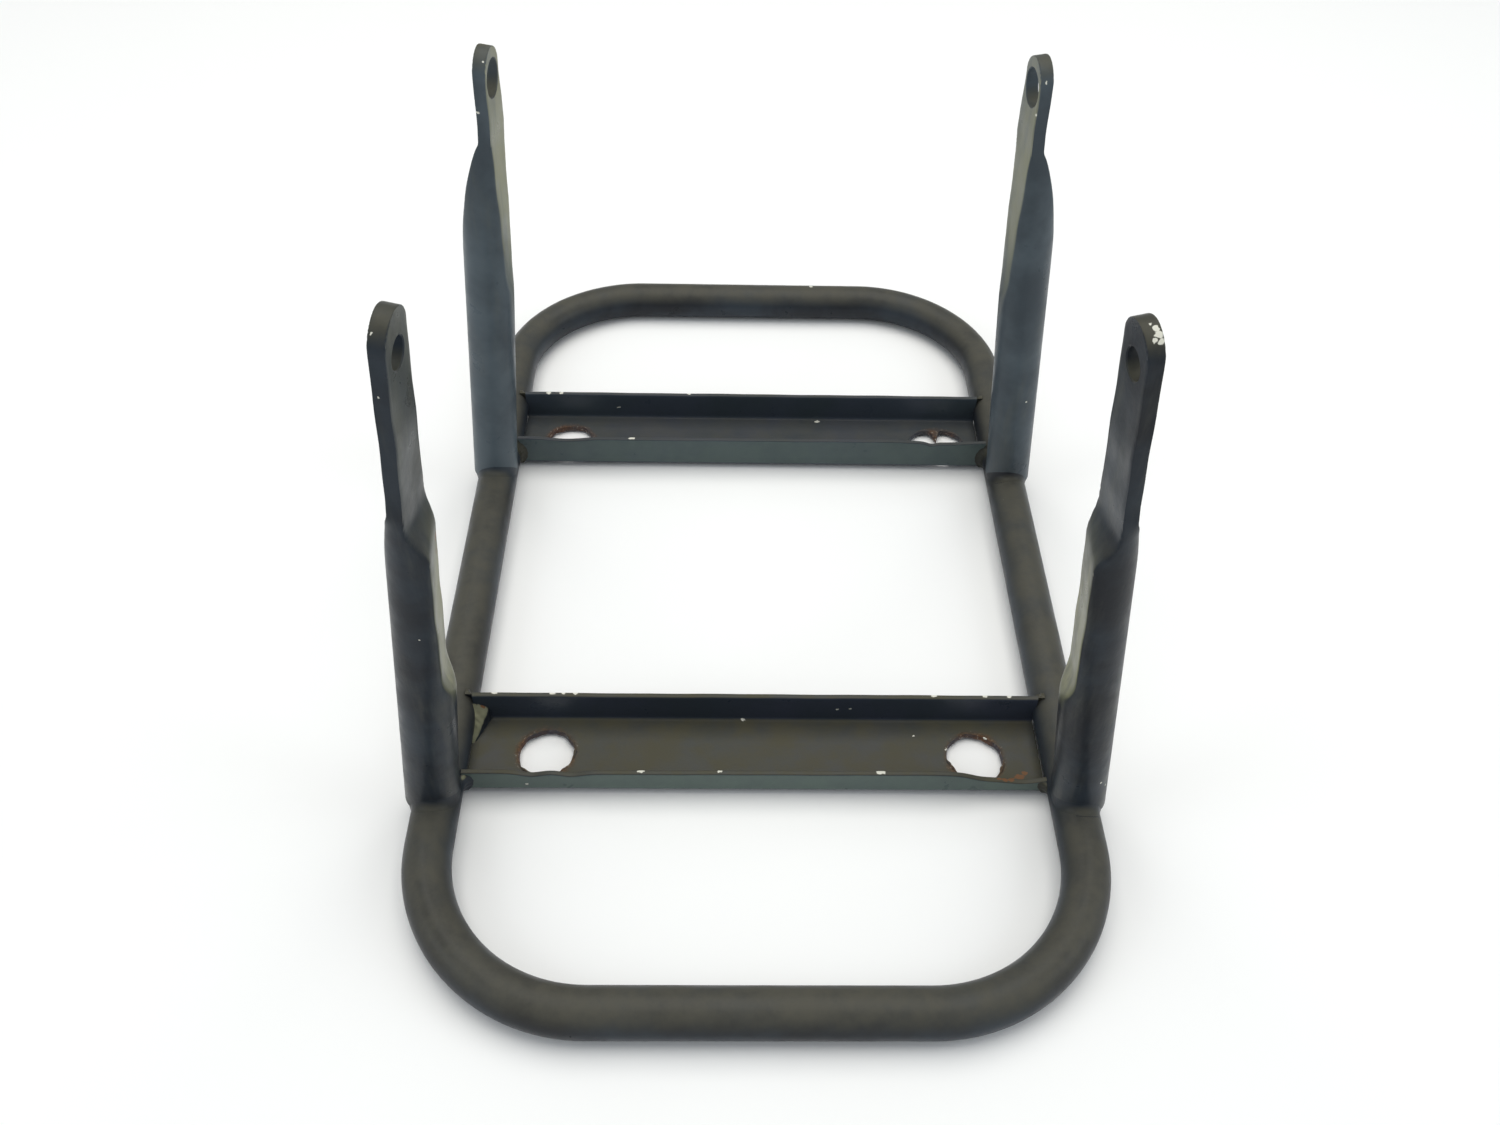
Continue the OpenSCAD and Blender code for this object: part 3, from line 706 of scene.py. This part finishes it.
rear_channel = channel("rear_channel_sheet", CHAN_Y, CHAN_H, REAR_BELLS, REAR_HOLES)
finished(rear_channel, ["rear_channel"], "channel_paint", rear_paint)

# %% [markdown]
# ## The legs
# A leg is a round tube whose upper part was pressed between two jaws, until its walls met and
# became a flat tab with a bolt hole. A sculpted cylinder could be pushed into that form, but
# here each section is worked out from what limits it: the round tube, the inner jaw, the outer
# jaw and the width of the tab. Seen from the middle of the section, each limit lies at some
# distance along every ray. The point is put at a soft minimum of these distances, which rounds
# the corners between them as pressing does.
#
# A form holds one kind of leg, in millimetres from its foot and from its middle line. y is its
# place along the rail, and out is how far outside the rail's middle it stands. The bolt hole has
# its diameter hole_d, its distance from the end, edge, and hole_in, how far inwards the tab lies
# there; tilt is the tab's slope in degrees. flat_from and flat_in place the first flat, step the
# rise to the tab, and shoulder the round outer shoulder.

# %% Leg forms
LEG_R, TAB_T, SHARP = 9.0, 4.4, 26.0
TAB_W, TAB_ROOT_W, TAB_TOE, SCOOP_L = 15.6, 16.4, 8.0, 12.0
SHOULDER_POWER = 2 / 1.3
FLAT_TURN = 12.0
FRONT_LEG = dict(length=200.7, y=-106.0, out=2.0, hole_d=8.5, hole_in=-2.2, edge=12.0, tilt=2.0,
                 flat_from=62.7, flat_in=5.6, step=(125.2, 12.0), shoulder=(117.7, 141.7))
REAR_LEG = dict(length=186.6, y=56.0, out=1.2, hole_d=12.4, hole_in=3.5, edge=10.0, tilt=3.4,
                flat_from=95.6, flat_in=None, step=None, shoulder=(112.6, 156.6))
print("Legs are", FRONT_LEG["length"], "and", REAR_LEG["length"], "mm long")

# %% [markdown]
# Two jaws press the tube: the inner one makes the flats, the outer one the round shoulder. Each
# is a curve over the leg's height, and a moving average takes the knife edge off its corners.

# %% Jaws
def smooth_step(x):
    """0 below 0, 1 above 1, and 3x^2 - 2x^3 between."""
    x = np.clip(x, 0, 1)
    return x * x * (3 - 2 * x)


def tab_inner(form, s):
    """Where the tab's inner face lies at height s: a straight, tilted line through the hole."""
    above_hole = s - form["length"] + form["edge"]
    return form["hole_in"] - above_hole * math.tan(math.radians(form["tilt"]))


def inner_jaw(form, s):
    """How far inwards the leg reaches at height s. Above the scoop, a parabola that starts
    outside the tube, lies the first flat; a smooth S leads from it to the tab."""
    tab = tab_inner(form, s)
    first = tab
    if form["flat_in"] is not None:
        slope = math.tan(math.radians(form["tilt"]))
        lower = form["flat_in"] - (s - form["flat_from"] - SCOOP_L) * slope
        start, length = form["step"]
        k = smooth_step((s - start) / length)
        first = lower * (1 - k) + tab * k
    t = (s - form["flat_from"]) / SCOOP_L
    depth = np.interp(form["flat_from"] + SCOOP_L, s, first)
    scoop = depth + (LEG_R - depth) * (1 - t) ** 2
    return np.where(t < 1, np.where(t < -0.6, 3 * LEG_R, scoop), first)


def outer_jaw(form, s):
    """How far outwards it reaches: the full tube, then a round shoulder, a superellipse, that
    ends at the tab's outer face."""
    start, end = form["shoulder"]
    sine = np.clip((s - start) / (end - start), 0, 1) ** (1 / SHOULDER_POWER)
    deep = LEG_R + tab_inner(form, end) - TAB_T
    shoulder = deep * (1 - np.sqrt(1 - sine ** 2) ** SHOULDER_POWER) - LEG_R
    outer = np.where(s >= end, tab_inner(form, s) - TAB_T, shoulder)
    return np.where(s <= start, -3 * LEG_R, outer)


def softened(values, step, reach):
    """A moving average over reach millimetres, so that pressed corners are not knife-sharp."""
    count = max(3, int(reach / step) | 1)
    window = np.hanning(count + 2)[1:-1]
    padded = np.pad(values, count // 2, mode="edge")
    return np.convolve(padded, window / window.sum(), mode="valid")


def half_width(form, s):
    """Half the tab's width: it narrows from its root, and ends in a half circle."""
    root, length = form["shoulder"][1], form["length"]
    end_r = TAB_W / 2
    half = np.interp(s, [root, root + 6, length - end_r], [0.97 * LEG_R, TAB_ROOT_W / 2, end_r])
    round_end = np.sqrt(np.maximum(end_r ** 2 - (s - length + end_r) ** 2, 0))
    return np.where(s > length - end_r, round_end, half)


print("Half width of a rear tab at its hole:",
      float(half_width(REAR_LEG, REAR_LEG["length"] - REAR_LEG["edge"]).round(2)), "mm")

# %% [markdown]
# A section at one height is the set of points that every limit allows. The hard minimum of the
# limits would have sharp corners. The P-norm is close to it, and rounds them.

# %% Leg sections
ROW_STEP, FINE_STEP, PRESS_SOFT = 1.15, 0.25, 2.5


def leg_rows(form):
    """Heights of the rows: ROW_STEP apart, and closer together round the tab's end."""
    end_r = TAB_W / 2
    top = form["length"] - end_r
    turn = np.radians(np.linspace(0, 90, 26))
    return np.concatenate([np.arange(0, top, ROW_STEP), top + end_r * np.sin(turn)])


def leg_sections(form, columns=120):
    """(inwards, sideways, height) for every row and column. The rays start at the middle of the
    jaws' gap. 1 / distance is the P-norm of the limits' own 1 / distance. Below the step, the
    inner jaw stood turned by FLAT_TURN degrees."""
    s = leg_rows(form)
    fine = np.arange(-6, form["length"] + 6, FINE_STEP)
    inner = softened(np.minimum(inner_jaw(form, fine), 1.6 * LEG_R), FINE_STEP, PRESS_SOFT)
    outer = softened(np.maximum(outer_jaw(form, fine), -1.6 * LEG_R), FINE_STEP, PRESS_SOFT)
    inner, outer = np.interp(s, fine, inner), np.interp(s, fine, outer)
    pressed = smooth_step((s - form["flat_from"]) / 30)
    uneven = 0.10 * pressed * (np.sin(s / 6.1) + 0.7 * np.sin(s / 2.9 + 1))
    inner, outer = (inner + uneven)[:, None], (outer + 0.6 * uneven)[:, None]
    even = np.linspace(0, 2 * np.pi, columns, endpoint=False)[None, :]
    ray = even + 0.36 * np.sin(2 * even)
    middle = (np.clip(inner, -LEG_R, LEG_R) + np.clip(outer, -LEG_R, LEG_R)) / 2
    cosine, sine = np.cos(ray), np.sin(ray)
    root = form["shoulder"][1]
    tab = smooth_step((s - root + 7) / 9)[:, None]
    tube = 1 / (np.sqrt(np.maximum(LEG_R ** 2 - (middle * sine) ** 2, 0.01)) - middle * cosine)
    edges = np.abs(sine) / np.maximum(half_width(form, s), 0.02)[:, None]
    turn = np.zeros_like(inner)
    if form["step"] is not None:
        start, length = form["step"]
        turn = math.radians(FLAT_TURN) * (1 - smooth_step((s - start) / length))[:, None]
    facing = np.maximum(cosine * np.cos(turn) + sine * np.sin(turn), 0)
    inner_flat = facing / (inner - middle * np.cos(turn))
    outer_flat = np.maximum(-cosine, 0) / (middle - outer)
    limits = [tube * (1 - tab) + edges * tab, inner_flat, outer_flat]
    distance = sum(limit ** SHARP for limit in limits) ** (-1 / SHARP)
    inwards, sideways = middle + distance * cosine, distance * sine
    sideways[-1] = 0
    return inwards, sideways, np.broadcast_to(s[:, None], inwards.shape).copy()


print("Front leg sections:", leg_sections(FRONT_LEG)[0].shape, "rows and columns")

# %% [markdown]
# The sections are worked out about the leg's own middle line. They are then turned, leaned and
# set on the rail. At the foot the rows bend down to the saddle in which tube meets rail.

# %% Leg surface
SADDLE_SINK, FOOT_FILLET, FOOT_BLEND = 0.6, 3.0, 24.0


def placed_leg(form, lean, side, inwards, sideways, height):
    """A leg's own measures to the rack's: turned by the toe about the leg, leaned inwards by
    the lean, and set on its rail. side is -1 for the left rail and 1 for the right one."""
    toe, lean = math.radians(TAB_TOE), math.radians(lean)
    x = inwards * math.cos(toe) + sideways * math.sin(toe)
    y = sideways * math.cos(toe) - inwards * math.sin(toe)
    across = x * math.cos(lean) + height * math.sin(lean) - RAIL_X - form["out"]
    z = HOOP_R + height * math.cos(lean) - x * math.sin(lean)
    return np.stack([-side * across, form["y"] + y, z], -1)


def rail_height(x):
    """Height of the rail's surface above its middle, at x from its middle line."""
    return np.sqrt(np.maximum(0, HOOP_R ** 2 - x ** 2))


def leg_grid(form, lean, side):
    """The sections from the foot up. Below FOOT_BLEND the rows bend to the saddle where the tube
    meets the rail, SADDLE_SINK inside it; outside the rail it ends inside the weld. The first
    row closes the foot at one point."""
    inwards, sideways, height = leg_sections(form)
    slope = math.radians(lean)
    low = inwards[0] * math.cos(slope) - form["out"]
    low = low + rail_height(low) * math.tan(slope)
    bottom = np.maximum(rail_height(low) - SADDLE_SINK, FOOT_FILLET - 0.2)
    saddle = (bottom + inwards[0] * math.sin(slope)) / math.cos(slope)
    share = height / FOOT_BLEND
    blended = saddle[None, :] * (1 - share) + FOOT_BLEND * share
    height = np.where(height < FOOT_BLEND, blended, height)
    pole = np.broadcast_to([1.0, 0.0, 0.5], (1,) + inwards.shape[1:] + (3,))
    stacked = np.concatenate([pole, np.stack([inwards, sideways, height], -1)])
    return placed_leg(form, lean, side, stacked[..., 0], stacked[..., 1], stacked[..., 2])


def bolt_cutter(form, lean, side):
    """A rod through the tab, square to its face, with a slight opening at both ends."""
    s = form["length"] - form["edge"]
    tilt = math.radians(form["tilt"])
    face = tab_inner(form, s)
    along = np.array([-9.0, -TAB_T + 0.05, -TAB_T + 0.35, -0.35, -0.05, 4.0])[:, None]
    r = form["hole_d"] / 2 + np.array([0.3, 0.3, 0.0, 0.0, 0.3, 0.3])[:, None]
    t = np.linspace(0, 2 * np.pi, 64, endpoint=False)[None, :]
    inwards = face + along * math.cos(tilt) - r * np.cos(t) * math.sin(tilt)
    height = s + along * math.sin(tilt) + r * np.cos(t) * math.cos(tilt)
    sideways = r * np.sin(t) + 0 * along
    return grid_mesh("bolt_hole", placed_leg(form, lean, side, inwards, sideways, height))


print("Saddle at the rail's middle:", float(rail_height(0.0)) - SADDLE_SINK, "mm above it")

# %% [markdown]
# The four legs of the real rack were bent and welded by hand, so each leans by its own angle
# and has its own wear. side is -1 for the left rail. pale is how much paler the pressed flat
# that looks inwards is made, and share says at which heights.

# %% Legs
# The rear legs wear the same paint as the front ones; their lighter tones are painted light, for
# the light they catch.
REAR_LIT_TONES = (LIT_DARK_STEEL, LIT_STEEL_BLUE)
REAR_SHARE = [(90, 0.0), (130, 0.9), (190, 1.0)]
LEGS = {
    "front_left": dict(
        form=FRONT_LEG, lean=7.4, side=-1, pale=0.95,
        share=[(62, 0.0), (72, 1.0), (120, 1.0), (132, 0.4), (142, 0.05), (165, 0.15), (190, 0.3)],
        chips=[(-91.7, -111.5, 205.3, 0.4), (-92.8, -113.2, 188.1, 0.35),
               (-97.5, -115, 101.9, 0.35)],
        stains=[(-90.7, -101.0, 129.0, 1.7), (-90.8, -101.5, 124.0, 1.5),
                (-91.2, -102.0, 118.0, 1.0)]),
    "front_right": dict(
        form=FRONT_LEG, lean=8.8, side=1, pale=1.0,
        share=[(62, 0.0), (72, 1.0), (116, 1.0), (128, 0.6), (140, 0.0)],
        chips=[(84.7, -106.4, 207.4, 0.7), (85.7, -108.0, 207.0, 0.9), (86.2, -109.4, 206.3, 1.1),
               (86.9, -110.7, 205.1, 1.0), (85.2, -110.6, 205.2, 0.7), (112.3, -113.5, 29.0, 0.6),
               (115.0, -111.7, 24.8, 0.5)]),
    "rear_left": dict(
        form=REAR_LEG, lean=5.6, side=-1, pale=0.95, share=REAR_SHARE, dark=REAR_LIT_TONES,
        chips=[(-90.4, 50.2, 191.2, 0.5), (-93.9, 47.9, 175.1, 0.6)]),
    "rear_right": dict(
        form=REAR_LEG, lean=5.9, side=1, pale=0.75, share=REAR_SHARE, dark=REAR_LIT_TONES,
        chips=[(90.6, 48.5, 188.3, 0.5), (89.4, 48.3, 177.4, 0.55), (108.1, 47.6, 56.3, 0.5)]),
}
LEG_IOR = 1.22
for name, leg in LEGS.items():
    where = leg["form"], leg["lean"], leg["side"]
    tube = joined(name + "_leg_tube", [grid_mesh("leg", leg_grid(*where), caps=False)], weld=0.002)
    cut(tube, [bolt_cutter(*where)])
    tube.data.set_sharp_from_angle(angle=math.radians(42))
    paint = worn_paint(
        name + "_leg_paint", dust_and_top_light_share=0.9, dark=leg.get("dark", (BLACK, BLUE_BLACK)),
        pale=(-leg["side"], 0, 0, PALE_FACE_TONE, leg["pale"]), share=(2, leg["share"]),
        streak=(1.0, 1.0, 0.16), stains=leg.get("stains", ()), chips=leg["chips"], ior=LEG_IOR)
    finished(tube, [name + "_leg"], "tube_paint", paint)

# %% [markdown]
# ## The foot welds
# Each leg's foot is welded to its rail all round, ground a little and painted over, so that the
# leg flows into the rail. A torus would be the plain answer, but the seam is a saddle: it
# climbs over the rail, and on the outer side the leg overhangs it. So each section is a cubic
# curve that leaves the leg along its surface and reaches the rail along its own.

# %% Foot welds
def foot_weld_grid(form, lean, rows=144, columns=16):
    """At angle a, the seam lies where the leg, R cos(a) - out + h tan(lean), meets the rail's
    height h. The curve starts one fillet's size above it on the leg, and ends the same size
    outside it, measured round the rail. Two points inside the tubes close the section."""
    a = np.linspace(0, 2 * np.pi, rows, endpoint=False)[:, None]
    lumps = 0.05 * np.sin(3 * a + form["y"]) + 0.03 * np.sin(7 * a)
    size = FOOT_FILLET * (1 + 0.3 * np.maximum(np.cos(a), 0) + lumps)
    slope, edge = math.tan(math.radians(lean)), HOOP_R - 0.1
    seam_x = np.clip(LEG_R * np.cos(a) - form["out"] + 6 * slope, -edge, edge)
    seam_x = np.clip(LEG_R * np.cos(a) - form["out"] + rail_height(seam_x) * slope, -edge, edge)
    seam_h, seam_turn = rail_height(seam_x), np.arcsin(seam_x / HOOP_R)

    def on_leg(share, r):
        h = seam_h + share * size
        return np.concatenate([r * np.cos(a) - form["out"] + h * slope, r * np.sin(a), h], -1)

    def on_rail(share):
        turn, r = seam_turn + share * size * np.cos(a) / HOOP_R, HOOP_R - 0.06
        along = (LEG_R + share * size) * np.sin(a)
        return np.concatenate([r * np.sin(turn), along, r * np.cos(turn)], -1)

    t = np.linspace(0, 1, columns)[None, :, None]
    ends = [on_leg(1.0, LEG_R - 0.06), on_leg(0.35, LEG_R), on_rail(0.35), on_rail(1.0)]
    shares = [(1 - t) ** 3, 3 * t * (1 - t) ** 2, 3 * t ** 2 * (1 - t), t ** 3]
    curve = sum(share * point[:, None, :] for share, point in zip(shares, ends))
    in_rail = np.concatenate([0.7 * seam_x, 8.0 * np.sin(a), 0.6 * seam_h - 0.5], -1)[:, None, :]
    in_leg = on_leg(0.9, 6.8)[:, None, :]
    return np.concatenate([curve, in_rail, in_leg], 1) + [-RAIL_X, form["y"], HOOP_R]


weld_paint = worn_paint("weld_paint", dust_and_top_light_share=0.8, grit=1.4)
for name, leg in LEGS.items():
    bead = foot_weld_grid(leg["form"], leg["lean"]) * [-leg["side"], 1, 1]
    weld = joined(name + "_foot_bead", [grid_mesh("bead", bead, ring=True)])
    finished(weld, [name + "_foot_weld"], "weld_paint", weld_paint)

# %% [markdown]
# ## The channel welds
# In each corner between a flange and the rail lies a short hollow fillet. It is a small section
# that is carried up along the corner, with its hollow side as a quarter circle.

# %% Corner fillets
END_BEAD = 3.0


def fillet_grid(y, outwards, top, rows=36, columns=12):
    """A hollow corner section, carried up from the web to top. Its two legs lie on the rail and
    on the flange; between them runs a quarter circle. It shrinks towards the top."""
    low = CHAN_LIFT + 1.0
    z = np.linspace(low, top, rows)[:, None]
    share = (z - low) / (top - low)
    fade = np.sqrt(1 - np.maximum(2 * share - 1, 0) ** 4)
    size = END_BEAD * (0.35 + 0.62 * fade + 0.03 * np.sin(z * 2.6))
    rail = -RAIL_X + np.sqrt(np.maximum(0, HOOP_R ** 2 - (z - HOOP_R) ** 2))
    corner = np.maximum(rail, -CHAN_END - 1.6)
    a = np.linspace(np.pi, 1.5 * np.pi, columns)[None, :]
    x = corner + size * (1 + np.cos(a))
    across = size * (1 + np.sin(a))
    behind_rail, behind_flange = corner - 1.2, -0.5 + 0 * z
    x = np.concatenate([behind_rail, x, x[:, -1:], behind_rail], 1)
    across = np.concatenate([across[:, :1], across, behind_flange, behind_flange], 1)
    return np.stack([x, y + outwards * across, z + 0 * x], -1)


print("A fillet has", fillet_grid(0, 1, CHAN_H).shape[:2], "rows and columns")

# %% [markdown]
# Inside the front channel's left end there is one heap of weld more. It is a lumpy solid: its
# flat sides are given as planes, and each point is put at a soft minimum of the planes'
# distances, as the legs' sections are.

# %% Weld heap
def heap_grid(rows=34, columns=56):
    """The heap's point in direction d lies at 1 / P-norm of (n . d) / h over its planes (n, h),
    with a few tenths of a millimetre of lumps."""
    corner = np.array([-CHAN_END, CHAN_W / 2 - CHAN_Y - CHAN_T, CHAN_LIFT + CHAN_T])
    inside = corner + [0.6, -2.8, 1.9]
    high, across, along = 9.6, 5.7, 12.2
    flange_left, flange_right = corner + [-1.2, 0, high], corner + [across, 0, 0.68 * high]
    foot, tip = corner + [across + 0.1, 0, -0.3], corner + [0.9, -along, -0.3]
    rail_tip = corner + [-3.5, -along, 0.5]
    planes = []
    for a, b, c in ((flange_left, flange_right, tip), (flange_right, foot, tip),
                    (flange_left, tip, rail_tip)):
        n = np.cross(b - a, c - a)
        n = n / np.linalg.norm(n)
        h = (a - inside) @ n
        planes.append((n * np.sign(h), abs(h)))
    planes += [(np.array([0, 1.0, 0]), 3.2), (np.array([0, 0, -1.0]), 2.4),
               (np.array([-1.0, 0, 0]), 3.6), (np.array([0, -1.0, 0]), along - 2.6)]
    lat = np.linspace(0.001, np.pi - 0.001, rows)[:, None]
    lon = np.linspace(0, 2 * np.pi, columns, endpoint=False)[None, :]
    d = np.stack([np.sin(lat) * np.cos(lon), np.sin(lat) * np.sin(lon),
                  np.cos(lat) + 0 * lon], -1)
    inverse = sum(np.maximum(d @ n / h, 0) ** 9 for n, h in planes) ** (1 / 9)
    lumps = 1 + 0.035 * np.sin(7 * d[..., 0] + 4 * d[..., 2]) * np.sin(9 * d[..., 1] + 1)
    return inside + d * (lumps / inverse)[..., None]


print("The heap has", heap_grid().shape[:2], "rows and columns")

# %% [markdown]
# Each end of each channel gets its two fillets as one piece. Where the forward flange was
# nibbled, its fillet ends lower. The paint on them is more olive than on the legs.

# %% Channel welds
HEAP_STAINS = [(-97.6, -70.6, 11.2, 1.3), (-94.8, -75.5, 4.2, 1.2), (-100.5, -76, 8, 0.8)]
corner_paint = worn_paint("corner_weld_paint", dust_and_top_light_share=0.9, dark=(DARK_OLIVE, OLIVE), grit=1.4)
# The heap's faces that look up, forwards and to the right get the pale tone: a painted highlight.
heap_paint_with_highlight = worn_paint("heap_paint_with_highlight", dust_and_top_light_share=1.0, pale=(0.5, -0.5, 0.7, PALE_FACE_TONE, 0.8),
                        stains=HEAP_STAINS, grit=2.0)
CHANNEL_ENDS = [("front_left", -CHAN_Y, CHAN_LOW_H, -1), ("front_right", -CHAN_Y, CHAN_LOW_H, 1),
                ("rear_left", CHAN_Y, CHAN_H, -1), ("rear_right", CHAN_Y, CHAN_H, 1)]
for name, y, front_h, side in CHANNEL_ENDS:
    meshes = []
    for outwards, flange_h in ((-1, front_h), (1, CHAN_H)):
        top = CHAN_LIFT + flange_h - 1
        if outwards < 0 and front_h == CHAN_LOW_H:
            top -= nibbled(side * CHAN_END, FRONT_BELLS)
        grid = fillet_grid(y + outwards * CHAN_W / 2, outwards, top)
        meshes.append(grid_mesh("fillet", grid * [-side, 1, 1]))
    if name == "front_left":
        meshes.append(grid_mesh("heap", heap_grid()))
    weld = joined(name + "_channel_bead", meshes, weld=0.002)
    weld.data.set_sharp_from_angle(angle=math.radians(50))
    paint = heap_paint_with_highlight if name == "front_left" else corner_paint
    finished(weld, [name + "_channel_weld"], "weld_paint", paint)

# %% [markdown]
# ## Look and finish
# The Standard view keeps the colours as they are written.

# %% Look and finish
bpy.context.scene.view_settings.view_transform = "Standard"
